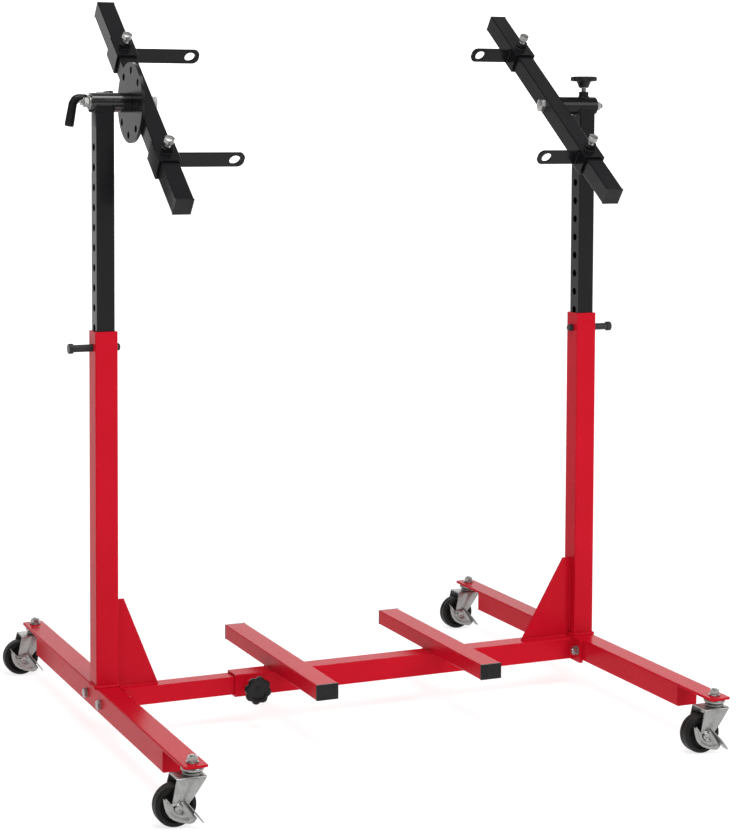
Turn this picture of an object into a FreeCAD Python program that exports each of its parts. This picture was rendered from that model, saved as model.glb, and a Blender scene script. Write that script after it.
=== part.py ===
import FreeCAD, Part
import math
import os
import re
import Sketcher

# Engine stand, millimetres. X runs along the crossbeam, Y along the feet, Z up from the floor.
# "out" is the side away from the engine, "in" the side facing it.

os.makedirs("parts", exist_ok=True)
doc = FreeCAD.newDocument("engine_stand")
V = FreeCAD.Vector
Rotation = FreeCAD.Rotation

# ---------------------------------------------------------------- driving dimensions
DIMENSIONS = [
    # frame
    ("col_x", 590, "column centre from the middle of the stand"),
    ("tube_w", 50, "feet, uprights, outer crossbeam"),
    ("tube_wall", 4, "wall of those tubes"),
    ("inner_w", 40, "inner crossbeam, inner columns, head bars"),
    ("inner_wall", 3, "wall of those tubes"),
    ("round_out", 3, "outside corner radius of the large tubes"),
    ("round_in", 2.5, "outside corner radius of the small tubes"),
    ("foot_top", 118, "top face of the feet"),
    ("foot_half", 600, "half length of a foot"),
    ("foot_cut", 470, "where the lower part of a foot is cut away"),
    ("foot_wall", 5, "wall of the feet"),
    ("tab_round", 6, "corner radius of the tab left at each end"),
    ("end_plate", 3, "plate that closes a cut end"),
    ("beam_z", 89, "centre height of the crossbeam"),
    ("flange_t", 8, "flange plate thickness"),
    ("flange_half", 66, "flange plate half length"),
    ("flange_h", 55, "flange plate height"),
    ("flange_drop", 26, "beam centre to the flange plate's lower edge"),
    ("flange_bolt_y", 50, "flange bolt from the beam's centre"),
    ("flange_bolt_z", 90, "height of the flange bolts"),
    ("outer_end_x", -296, "open end of the outer crossbeam"),
    ("inner_end_x", 100, "hidden end of the inner crossbeam"),
    ("rail_x1", -183, "first cross rail"),
    ("rail_x2", 213, "second cross rail"),
    ("rail_len1", 560, "first cross rail with its caps"),
    ("rail_len2", 540, "second cross rail with its caps"),
    ("rail_h", 34, "cross rail height"),
    ("cap_t", 4, "thickness of an end cap's lip"),
    ("plug_len", 14, "depth of an end cap's plug"),
    ("upright_top", 889, "top of the red uprights"),
    ("gusset_top", 303, "top of the gussets"),
    ("gusset_lip", 19, "flat top of a gusset"),
    ("gusset_left", 97, "foot of the left gusset along the beam"),
    ("gusset_right", 130, "foot of the right gusset along the beam"),
    ("gusset_t", 5, "gusset thickness"),
    # height adjustment
    ("pin_z", 853, "height of the pull pins"),
    ("pitch", 43, "pitch of the column holes"),
    ("column_bottom", 681, "lower end of the inner columns"),
    ("pin_d", 16, "pull pin"),
    ("pin_hole_d", 17, "holes for the pull pin"),
    # heads
    ("axis_z", 1378, "height of the rotation axis"),
    ("sleeve_r", 21, "sleeve outside radius"),
    ("sleeve_out", 28, "sleeve, from the column's centre outwards"),
    ("bore_r", 12.55, "sleeve bore radius"),
    ("spindle_r", 12.5, "spindle radius"),
    ("bar_off", 87, "bar centre from the column's centre"),
    ("bar_len", 694, "head bar with its caps"),
    ("tilt_left", 38, "left bar, degrees from level"),
    ("tilt_right", 36, "right bar, degrees from level"),
    ("disc_r", 87, "index disc radius"),
    ("disc_t", 7, "index disc thickness"),
    ("index_r", 70, "radius of the index hole circle"),
    ("index_hole_r", 8, "index hole radius"),
    ("index_pin_r", 7, "index pin radius"),
    ("index_y", 69.35, "index pin from the axis, along Y"),
    ("index_z", 9.5, "index pin above the axis"),
    ("grip_out", 44, "bend of the index pin's grip from the column's centre"),
    ("grip_drop", 62, "length of the grip below the bend"),
    ("grip_r", 9.5, "radius of the grip"),
    # sliding collars and arms
    ("collar_w", 50, "collar outside"),
    ("collar_len", 66, "collar length along the bar"),
    ("arm_t", 5, "arm thickness"),
    ("arm_w", 36, "arm width"),
    ("arm_end", 22, "arm end from the middle of its eye"),
    ("arm_round", 14, "corner radius of the arm end"),
    ("eye_r", 12, "radius of the eye"),
    ("arm_left", 131, "collar side to eye, left"),
    ("arm_right", 78, "collar side to eye, right"),
    ("set_bolt_r", 7, "set bolt radius"),
    # knobs
    ("knob_x", -262, "crossbeam knob"),
    ("knob_out", 8, "how much further out the crossbeam knob stands than the head knob"),
    ("boss_h", 12, "height of the threaded bosses under the knobs"),
    ("boss_r", 11.5, "radius of those bosses"),
    ("stud_r", 6, "radius of the knob screws and the spindles' threaded ends"),
    # castors
    ("castor_y", 575, "castor swivel axis from the middle"),
    ("trail", 37, "wheel centre behind the swivel axis"),
    ("wheel_r", 41.5, "wheel radius"),
    ("wheel_w", 30, "wheel width"),
    ("crown_top", 97, "top of a castor fork"),
    ("race_r", 23, "castor race radius"),
    ("fork_half", 25, "fork half width, outside"),
    ("fork_t", 3, "fork sheet"),
    ("axle_r", 5, "castor axle radius"),
]
WORDS = {name: float(value) for name, value, note in DIMENSIONS}
sheet = doc.addObject("Spreadsheet::Sheet", "dims")
for row, (name, value, note) in enumerate(DIMENSIONS, 1):
    sheet.set(f"A{row}", name)
    sheet.set(f"B{row}", str(value))
    sheet.set(f"C{row}", note)
    sheet.setAlias(f"B{row}", name)
doc.recompute()

NAMES = re.compile(r"\b(" + "|".join(sorted(WORDS, key=len, reverse=True)) + r")\b")
final = {}
counter = iter(range(10**6))


def ex(text):
    """An expression on the sheet, from one written with bare dimension names."""
    return NAMES.sub(r"dims.\1", str(text))


def bind(obj, **fields):
    for key, text in fields.items():
        obj.setExpression(key.replace("__", "."), ex(text))
    return obj


def place(obj, x=0, y=0, z=0, turn=None):
    """Placement bound to the sheet. turn is a fixed rotation (axis, degrees)."""
    if turn:
        obj.Placement = FreeCAD.Placement(V(), Rotation(V(*turn[0]), turn[1]))
    return bind(obj, Placement__Base__x=x, Placement__Base__y=y, Placement__Base__z=z)


def fresh(kind, stem):
    return doc.addObject(kind, f"{stem}_{next(counter)}")


def keep(label, obj):
    """Names a finished sub-part."""
    obj.Label = label
    final[label] = obj
    return obj


ALONG = {"X": ((0, 1, 0), 90), "Y": ((1, 0, 0), -90), "Z": None}


def box(x, y, z, dx, dy, dz):
    """A box from its low corner."""
    obj = bind(fresh("Part::Box", "box"), Length=dx, Width=dy, Height=dz)
    return place(obj, x, y, z)


def rod(axis, x, y, z, radius, length):
    """A cylinder that starts at x, y, z and runs along the positive axis."""
    obj = bind(fresh("Part::Cylinder", "rod"), Radius=radius, Height=length)
    return place(obj, x, y, z, ALONG[axis])


def hexagon(axis, x, y, z, flats, height):
    obj = fresh("Part::Prism", "hexagon")
    obj.Polygon = 6
    bind(obj, Circumradius=f"({flats}) / 2 / 0.8660254", Height=height)
    return place(obj, x, y, z, ALONG[axis])


def cone(axis, x, y, z, r1, r2, height):
    obj = bind(fresh("Part::Cone", "cone"), Radius1=r1, Radius2=r2, Height=height)
    return place(obj, x, y, z, ALONG[axis])


def fuse(*objs):
    obj = fresh("Part::MultiFuse", "fuse")
    obj.Shapes = list(objs)
    obj.Refine = True
    return obj


def cut(base, *tools):
    obj = fresh("Part::Cut", "cut")
    obj.Base = base
    obj.Tool = tools[0] if len(tools) == 1 else fuse(*tools)
    return obj


def group(*objs):
    """Separate solids under one node."""
    obj = fresh("Part::Compound", "group")
    obj.Links = list(objs)
    return obj


# ---------------------------------------------------------------- sketched bodies
def new_sketch(body, plane):
    sketch = body.newObject("Sketcher::SketchObject", f"{body.Name}_sketch")
    origin = [f for f in body.Origin.OriginFeatures if f.Role == plane][0]
    sketch.AttachmentSupport = [(origin, "")]
    sketch.MapMode = "FlatFace"
    return sketch


def corner(sketch, line, name, x, y):
    """Ties the start of a line to the origin by two driven distances."""
    for kind, axis, text in (("DistanceX", "x", x), ("DistanceY", "y", y)):
        point = sketch.getPoint(line, 1)
        here = point.x if axis == "x" else point.y
        index = sketch.addConstraint(Sketcher.Constraint(kind, -1, 1, line, 1, here))
        sketch.renameConstraint(index, f"{name}{axis}")
        sketch.setExpression(f"Constraints.{name}{axis}", ex(text))


def value(text):
    """The number an expression gives, used only to draw a sketch near its final size."""
    plain = NAMES.sub(lambda match: repr(WORDS[match.group(1)]), str(text))
    return FreeCAD.Units.parseQuantity(plain).Value


def polygon(sketch, corners, stem):
    first = sketch.GeometryCount
    points = [V(value(x), value(y), 0) for x, y in corners]
    count = len(points)
    for i in range(count):
        sketch.addGeometry(Part.LineSegment(points[i], points[(i + 1) % count]), False)
    for i in range(count):
        following = first + (i + 1) % count
        sketch.addConstraint(Sketcher.Constraint("Coincident", first + i, 2, following, 1))
    for i, (x, y) in enumerate(corners):
        corner(sketch, first + i, f"{stem}{i}", x, y)


def rectangle(sketch, wide, high, stem):
    half_w, half_h = f"({wide}) / 2", f"({high}) / 2"
    polygon(
        sketch,
        [
            (f"-({half_w})", f"-({half_h})"),
            (half_w, f"-({half_h})"),
            (half_w, half_h),
            (f"-({half_w})", half_h),
        ],
        stem,
    )


def tube(axis, wide, high, wall, length, radius):
    """A square tube centred on its body's origin, with rounded outside corners."""
    plane = {"X": "YZ_Plane", "Y": "XZ_Plane", "Z": "XY_Plane"}[axis]
    body = fresh("PartDesign::Body", "tube")
    sketch = new_sketch(body, plane)
    rectangle(sketch, wide, high, "out")
    rectangle(sketch, f"{wide} - 2 * {wall}", f"{high} - 2 * {wall}", "in")
    pad = body.newObject("PartDesign::Pad", f"{body.Name}_pad")
    pad.Profile = sketch
    pad.SideType = "Symmetric"
    bind(pad, Length=length)
    doc.recompute()
    edges = []
    for i, edge in enumerate(pad.Shape.Edges, 1):
        ends = [vertex.Point for vertex in edge.Vertexes]
        run = (ends[1] - ends[0]).Length
        mid = (ends[0] + ends[1]) * 0.5
        flat = {"X": (mid.y, mid.z), "Y": (mid.x, mid.z), "Z": (mid.x, mid.y)}[axis]
        near = math.hypot(abs(flat[0]) - value(wide) / 2, abs(flat[1]) - value(high) / 2)
        if near < 0.01 and abs(run - value(length)) < 0.01:
            edges.append(f"Edge{i}")
    fillet = body.newObject("PartDesign::Fillet", f"{body.Name}_fillet")
    fillet.Base = (pad, edges)
    bind(fillet, Radius=radius)
    return body


def plate(plane, corners, thick, x=0, y=0, z=0):
    """A flat plate of any outline, centred on its sketch plane."""
    body = fresh("PartDesign::Body", "plate")
    sketch = new_sketch(body, plane)
    polygon(sketch, corners, "p")
    pad = body.newObject("PartDesign::Pad", f"{body.Name}_pad")
    pad.Profile = sketch
    pad.SideType = "Symmetric"
    bind(pad, Length=thick)
    return place(body, x, y, z)


# ---------------------------------------------------------------- base frame
def castor_tab_cut(sign):
    """What is cut off below the tab at one end of a foot."""
    low = "foot_cut" if sign > 0 else "-foot_half - 1"
    wide, long, high = "tube_w + 2", "foot_half - foot_cut + 1", "tube_w + 1 - foot_wall"
    return box("-tube_w / 2 - 1", low, "-tube_w / 2 - 1", wide, long, high)


def tab_corner(side, end):
    """What is cut off one square corner of a tab to round it."""
    edge_x = f"{side} * (tube_w / 2 - tab_round)"
    edge_y = f"{end} * (foot_half - tab_round)"
    low_x = edge_x if side > 0 else f"{edge_x} - tab_round - 1"
    low_y = edge_y if end > 0 else f"{edge_y} - tab_round - 1"
    low_z = "tube_w / 2 - foot_wall - 1"
    square = box(low_x, low_y, low_z, "tab_round + 1", "tab_round + 1", "foot_wall + 2")
    return cut(square, rod("Z", edge_x, edge_y, 0, "tab_round", "tube_w"))


def foot(label, x):
    body = tube("Y", "tube_w", "tube_w", "foot_wall", "2 * foot_half", "round_out")
    bolt_z = "flange_bolt_z - foot_top + tube_w / 2"
    holes = [rod("X", "-tube_w", f"{s} * flange_bolt_y", bolt_z, 6.5, "2 * tube_w") for s in (-1, 1)]
    holes += [rod("Z", 0, f"{s} * castor_y", 0, 6.5, "tube_w") for s in (-1, 1)]
    corners = [tab_corner(side, end) for side in (-1, 1) for end in (-1, 1)]
    inside = "tube_w - 2 * foot_wall"
    ends = [
        box(f"-({inside}) / 2", low, f"-({inside}) / 2", inside, "end_plate", inside)
        for low in ("foot_cut - end_plate", "-foot_cut")
    ]
    pieces = fuse(cut(body, castor_tab_cut(1), castor_tab_cut(-1), *corners, *holes), *ends)
    keep(label, place(pieces, x, 0, "foot_top - tube_w / 2"))


def flange(label, low_x):
    slab = box(low_x, "-flange_half", "beam_z - flange_drop", "flange_t", "2 * flange_half", "flange_h")
    start = f"{low_x} - 1"
    holes = [rod("X", start, f"{s} * flange_bolt_y", "flange_bolt_z", 6.5, "flange_t + 2") for s in (-1, 1)]
    keep(label, cut(slab, *holes))


def flange_bolts(label, sign):
    """Two bolts, heads outside the foot, nuts inside the flange."""
    solids = []
    outer = "col_x + tube_w / 2"
    inner = "col_x - tube_w / 2 - flange_t"
    for s in (-1, 1):
        y = f"{s} * flange_bolt_y"
        if sign > 0:
            head = hexagon("X", outer, y, "flange_bolt_z", 19, 8)
            shank = rod("X", f"{inner} - 14", y, "flange_bolt_z", 6, f"{outer} - ({inner}) + 14")
            nut = hexagon("X", f"{inner} - 10", y, "flange_bolt_z", 19, 10)
        else:
            head = hexagon("X", f"-({outer}) - 8", y, "flange_bolt_z", 19, 8)
            shank = rod("X", f"-({outer})", y, "flange_bolt_z", 6, f"{outer} - ({inner}) + 14")
            nut = hexagon("X", f"-({inner})", y, "flange_bolt_z", 19, 10)
        solids.append(fuse(head, shank, nut))
    keep(label, group(*solids))


def castor_stems(label, x):
    """The fixed half of each castor: upper race under the tab, stem through it, washer and nut on top."""
    under = "foot_top - foot_wall"
    solids = []
    for s in (-1, 1):
        y = f"{s} * castor_y"
        solids.append(
            fuse(
                rod("Z", x, y, f"{under} - 9", "race_r", 9),
                rod("Z", x, y, "crown_top - 10", 6, "foot_top + 15 - crown_top + 10"),
                rod("Z", x, y, "crown_top - 10", 11, 5.5),
                rod("Z", x, y, "foot_top", 13, 2.5),
                hexagon("Z", x, y, "foot_top + 2.5", 19, 10),
            )
        )
    keep(label, group(*solids))


def upright(label, x):
    height = "upright_top - foot_top"
    body = tube("Z", "tube_w", "tube_w", "tube_wall", height, "round_out")
    hole = rod("X", "-tube_w", 0, f"pin_z - foot_top - ({height}) / 2", "pin_hole_d / 2", "2 * tube_w")
    keep(label, place(cut(body, hole), x, 0, f"foot_top + ({height}) / 2"))


def gusset(label, sign, reach, seat):
    """A plate in the angle of upright and beam, notched over the flange plate."""
    wall_x = "col_x - tube_w / 2"
    flange_x = f"{wall_x} - flange_t"
    top_flange = "beam_z - flange_drop + flange_h"
    corners = [
        (wall_x, "gusset_top"),
        (wall_x, top_flange),
        (flange_x, top_flange),
        (flange_x, seat),
        (f"{wall_x} - {reach}", seat),
        (f"{wall_x} - gusset_lip", "gusset_top"),
    ]
    if sign < 0:
        corners = [(f"-({x})", z) for x, z in corners]
    keep(label, plate("XZ_Plane", corners, "gusset_t"))


for side, sign in (("left", -1), ("right", 1)):
    at = f"{sign} * col_x"
    foot(f"{side}_foot", at)
    low = "col_x - tube_w / 2 - flange_t" if sign > 0 else "-col_x + tube_w / 2"
    flange(f"{side}_flange", low)
    flange_bolts(f"{side}_flange_bolts", sign)
    castor_stems(f"{side}_castor_stems", at)
    upright(f"{side}_upright", at)
gusset("left_gusset", -1, "gusset_left", "beam_z + inner_w / 2")
gusset("right_gusset", 1, "gusset_right", "beam_z + tube_w / 2")

# crossbeam: the inner tube slides in the outer one
beam_end = "col_x - tube_w / 2 - flange_t"
inner_len = f"inner_end_x + {beam_end}"
inner = tube("X", "inner_w", "inner_w", "inner_wall", inner_len, "round_in")
keep("inner_beam", place(inner, f"-({beam_end}) + ({inner_len}) / 2", 0, "beam_z"))

outer_len = f"{beam_end} - outer_end_x"
outer = tube("X", "tube_w", "tube_w", "tube_wall", outer_len, "round_out")
place(outer, f"outer_end_x + ({outer_len}) / 2", 0, "beam_z")
boss = rod("Y", "knob_x", "-tube_w / 2 - boss_h", "beam_z", "boss_r", "boss_h + 1")
stud_hole = rod("Y", "knob_x", "-tube_w / 2 - 20", "beam_z", "stud_r + 0.35", 30)
keep("outer_beam", cut(fuse(outer, boss), stud_hole))

# cross rails with their end caps
caps = []
for number, x, length in ((1, "rail_x1", "rail_len1"), (2, "rail_x2", "rail_len2")):
    z = "beam_z + tube_w / 2 + rail_h / 2"
    rail = tube("Y", "tube_w", "rail_h", "inner_wall", f"{length} - 2 * cap_t", "round_in")
    keep(f"cross_rail_{number}", place(rail, x, 0, z))
    for s in (-1, 1):
        lip_y = f"{length} / 2 - cap_t" if s > 0 else f"-{length} / 2"
        plug_y = f"{length} / 2 - cap_t - plug_len" if s > 0 else f"-{length} / 2 + cap_t"
        lip = box(f"{x} - tube_w / 2", lip_y, "beam_z + tube_w / 2", "tube_w", "cap_t", "rail_h")
        inside, height = "tube_w - 2 * inner_wall - 1", "rail_h - 2 * inner_wall - 1"
        plug_z = "beam_z + tube_w / 2 + inner_wall + 0.5"
        plug = box(f"{x} - ({inside}) / 2", plug_y, plug_z, inside, "plug_len", height)
        caps.append(fuse(lip, plug))
keep("cross_rail_caps", group(*caps))


# ---------------------------------------------------------------- knobs
def knob(label, axis, sign, x, y, z, out):
    """A star knob moulded on its screw. x, y, z is where the screw's axis meets the surface below the boss.

    The screw is bare up to 22 + out, then come a stepped hub and, from 36 to 48 + out, the star.
    Its tip stands 0.3 off what it clamps.
    """
    def along(a):
        return {"Y": (x, f"{y} + {sign} * ({a})", z), "Z": (x, y, f"{z} + {a}")}[axis]

    def piece(start, length, radius):
        spot = along(start) if sign > 0 else along(f"{start} + {length}")
        return rod(axis, *spot, radius, length)

    clamped = {"Y": "-(tube_w - inner_w) / 2", "Z": "-(sleeve_r - spindle_r)"}[axis]
    tip = f"{clamped} + 0.3"
    solids = [
        piece(tip, f"26 + {out} - ({tip})", "stud_r"),
        piece(f"22 + {out}", 6, 13),
        piece(f"28 + {out}", 9, 17.5),
        piece(f"36 + {out}", 12, 28),
    ]
    for step in range(8):
        angle = math.radians(45 * step)
        a, b = round(22.5 * math.cos(angle), 4), round(22.5 * math.sin(angle), 4)
        spot = list(along(f"36 + {out}") if sign > 0 else along(f"48 + {out}"))
        side = 2 if axis == "Y" else 1
        spot[0] = f"{spot[0]} + {a}"
        spot[side] = f"{spot[side]} + {b}"
        solids.append(rod(axis, *spot, 9, 12))
    keep(label, fuse(*solids))


knob("beam_knob", "Y", -1, "knob_x", "-tube_w / 2", "beam_z", "knob_out")
knob("head_knob", "Z", 1, "col_x", 0, "axis_z + sleeve_r", 0)

# ---------------------------------------------------------------- columns, sleeves and pull pins
column_len = "axis_z - 6 - column_bottom"
HOLES = range(-2, 11)


def column(label, x):
    body = tube("Z", "inner_w", "inner_w", "inner_wall", column_len, "round_in")
    mid = f"column_bottom + ({column_len}) / 2"
    heights = [f"pin_z + {k} * pitch - ({mid})" for k in HOLES]
    tools = [rod("X", "-inner_w", 0, z, "pin_hole_d / 2", "2 * inner_w") for z in heights]
    tools.append(rod("X", "-inner_w", 0, f"axis_z - ({mid})", "sleeve_r", "2 * inner_w"))
    keep(label, place(cut(body, *tools), x, 0, mid))


column("left_column", "-col_x")
column("right_column", "col_x")

left_inner = "bar_off - inner_w / 2 - disc_t - 0.5"
right_inner = "bar_off - inner_w / 2 - 0.5"
left_tube = cut(
    rod("X", "-col_x - sleeve_out", 0, "axis_z", "sleeve_r", f"sleeve_out + {left_inner}"),
    rod("X", "-col_x - sleeve_out - 1", 0, "axis_z", "bore_r", f"sleeve_out + {left_inner} + 2"),
)
keep("left_sleeve", left_tube)
right_tube = cut(
    fuse(
        rod("X", f"col_x - ({right_inner})", 0, "axis_z", "sleeve_r", f"sleeve_out + {right_inner}"),
        rod("Z", "col_x", 0, "axis_z + 16", "boss_r", "sleeve_r - 16 + boss_h"),
    ),
    rod("X", f"col_x - ({right_inner}) - 1", 0, "axis_z", "bore_r", f"sleeve_out + {right_inner} + 2"),
    rod("Z", "col_x", 0, "axis_z", "stud_r + 0.35", 50),
)
keep("right_sleeve", right_tube)

for side, sign in (("left", -1), ("right", 1)):
    start = "-col_x - 78" if sign < 0 else "col_x + 68"
    shank = "-col_x - 68" if sign < 0 else "col_x - 36"
    head = rod("X", start, 0, "pin_z", 11, 10)
    keep(f"{side}_pull_pin", fuse(head, rod("X", shank, 0, "pin_z", "pin_d / 2", 104)))

# index pin: guide on the left sleeve, bent grip outside
guide_z = "axis_z + index_z"
web = box("-col_x + 20", "sleeve_r - 6", "axis_z + 4", 8, "index_y - sleeve_r - 2", 21)
guide = fuse(rod("X", "-col_x + 8", "index_y", guide_z, 14, 34), web)
clear = [
    rod("X", "-col_x", "index_y", guide_z, "index_pin_r + 0.35", 60),
    rod("X", "-col_x - 10", 0, "axis_z", "sleeve_r", 60),
]
keep("index_pin_guide", cut(guide, *clear))

tip_x = "-col_x + bar_off - inner_w / 2 - disc_t - 1"
grip_x = "-col_x - grip_out"
shaft = rod("X", grip_x, "index_y", guide_z, "index_pin_r", f"{tip_x} - ({grip_x})")
hand = rod("X", grip_x, "index_y", guide_z, "grip_r", "grip_out - 15")
elbow = bind(fresh("Part::Sphere", "elbow"), Radius="grip_r")
place(elbow, grip_x, "index_y", guide_z)
leg = bind(fresh("Part::Cone", "leg"), Radius1="grip_r", Radius2="grip_r + 1", Height="grip_drop")
place(leg, grip_x, "index_y", guide_z, ((0, 1, 0), 190))
keep("index_pin", fuse(shaft, hand, elbow, leg))

# ---------------------------------------------------------------- heads
LEVEL_BAR = "bar_len - 2 * cap_t"


def tilted(obj, x, tilt, label):
    """Puts a head part, drawn with its bar level along Y at the origin, in place."""
    place(obj, x, 0, "axis_z", ((1, 0, 0), 10))
    bind(obj, Placement__Rotation__Angle=tilt)
    return keep(label, obj)


def head(side, sign, tilt):
    """Bar with end caps, and the spindle, drawn about the bar's middle."""
    x = f"{sign} * (col_x - bar_off)"
    body = tube("Y", "inner_w", "inner_w", "inner_wall", LEVEL_BAR, "round_in")
    bar = cut(body, rod("X", "-inner_w", 0, 0, "spindle_r", "2 * inner_w"))
    tilted(bar, x, tilt, f"{side}_bar")
    ends = []
    for s in (-1, 1):
        lip_y = f"({LEVEL_BAR}) / 2" if s > 0 else "-bar_len / 2"
        plug_y = f"({LEVEL_BAR}) / 2 - plug_len" if s > 0 else f"-({LEVEL_BAR}) / 2"
        inside = "inner_w - 2 * inner_wall - 1"
        lip = box("-inner_w / 2", lip_y, "-inner_w / 2", "inner_w", "cap_t", "inner_w")
        plug = box(f"-({inside}) / 2", plug_y, f"-({inside}) / 2", inside, "plug_len", inside)
        ends.append(fuse(lip, plug))
    tilted(group(*ends), x, tilt, f"{side}_bar_caps")
    # spindle along X: hexagon head inside, shoulder, threaded end with washer and nut outside
    outside = "bar_off + sleeve_out"
    length = f"{outside} + inner_w / 2 - 0.3"
    if sign < 0:
        bolt = fuse(
            hexagon("X", "inner_w / 2", 0, 0, 27, 12),
            rod("X", f"-({outside}) + 0.3", 0, 0, "spindle_r", length),
            rod("X", f"-({outside}) - 22", 0, 0, "stud_r", 24),
        )
        washer = rod("X", f"-({outside}) - 3.3", 0, 0, 15.5, 3)
        washer = cut(washer, rod("X", f"-({outside}) - 5", 0, 0, "stud_r + 0.2", 8))
        nut = hexagon("X", f"-({outside}) - 14.4", 0, 0, 19, 11)
        nut = cut(nut, rod("X", f"-({outside}) - 20", 0, 0, "stud_r + 0.1", 20))
    else:
        bolt = fuse(
            hexagon("X", "-inner_w / 2 - 12", 0, 0, 27, 12),
            rod("X", "-inner_w / 2", 0, 0, "spindle_r", length),
            rod("X", f"{outside} - 2", 0, 0, "stud_r", 24),
        )
        washer = rod("X", f"{outside} + 0.3", 0, 0, 15.5, 3)
        washer = cut(washer, rod("X", f"{outside} - 2", 0, 0, "stud_r + 0.2", 8))
        nut = hexagon("X", f"{outside} + 3.4", 0, 0, 19, 11)
        nut = cut(nut, rod("X", f"{outside} + 1", 0, 0, "stud_r + 0.1", 20))
    tilted(group(bolt, washer, nut), x, tilt, f"{side}_spindle")


head("left", -1, "tilt_left")
head("right", 1, "tilt_right")

# index disc on the left bar; one of its holes faces the index pin
first = math.degrees(math.atan2(WORDS["index_z"], WORDS["index_y"]))
disc_x = "-inner_w / 2 - disc_t"
tools = [rod("X", f"{disc_x} - 1", 0, 0, "spindle_r", "disc_t + 2")]
for step in range(8):
    turn = f"({first:.4f} - tilt_left + {45 * step})"
    y, z = f"index_r * cos({turn} * 1deg)", f"index_r * sin({turn} * 1deg)"
    tools.append(rod("X", f"{disc_x} - 1", y, z, "index_hole_r", "disc_t + 2"))
disc = cut(rod("X", disc_x, 0, 0, "disc_r", "disc_t"), *tools)
tilted(disc, "-col_x + bar_off", "tilt_left", "index_disc")


def carrier(name, sign, tilt, along, reach):
    """Sliding collar with its welded nut, the arm on its engine side, and the set bolt."""
    x = f"{sign} * (col_x - bar_off)"
    body = tube("Y", "collar_w", "collar_w", "tube_wall", "collar_len", "round_in")
    place(body, 0, along, 0)
    nut = hexagon("Z", 0, along, "collar_w / 2 - 1", 24, 14)
    collar = cut(fuse(body, nut), rod("Z", 0, along, "inner_w / 2 - 2", "set_bolt_r + 0.35", 50))
    tilted(collar, x, tilt, f"collar_{name}")

    # the arm is two crossed strips and two round corners, with the eye cut through
    face = "collar_w / 2"
    low_y = f"{along} - arm_t / 2"
    side = 1 if sign < 0 else -1

    def strip(end, half_w):
        low_x = face if side > 0 else f"-({end})"
        return box(low_x, low_y, f"-({half_w})", f"{end} - {face}", "arm_t", f"2 * ({half_w})")

    end = f"{face} + {reach} + arm_end"
    corner_x = f"{side} * ({end} - arm_round)"
    heights = [f"{s} * (arm_w / 2 - arm_round)" for s in (-1, 1)]
    corners = [rod("Y", corner_x, low_y, z, "arm_round", "arm_t") for z in heights]
    flat = fuse(strip(f"{end} - arm_round", "arm_w / 2"), strip(end, "arm_w / 2 - arm_round"), *corners)
    eye = rod("Y", f"{side} * ({face} + {reach})", f"{low_y} - 1", 0, "eye_r", "arm_t + 2")
    tilted(cut(flat, eye), x, tilt, f"arm_{name}")

    shank = rod("Z", 0, along, "inner_w / 2 + 0.3", "set_bolt_r", 30)
    tilted(fuse(shank, hexagon("Z", 0, along, 48, 20, 10)), x, tilt, f"set_bolt_{name}")


carrier("left_upper", -1, "tilt_left", 171, "arm_left")
carrier("left_lower", -1, "tilt_left", -194, "arm_left")
carrier("right_upper", 1, "tilt_right", 206, "arm_right")
carrier("right_lower", 1, "tilt_right", -200, "arm_right")


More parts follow.
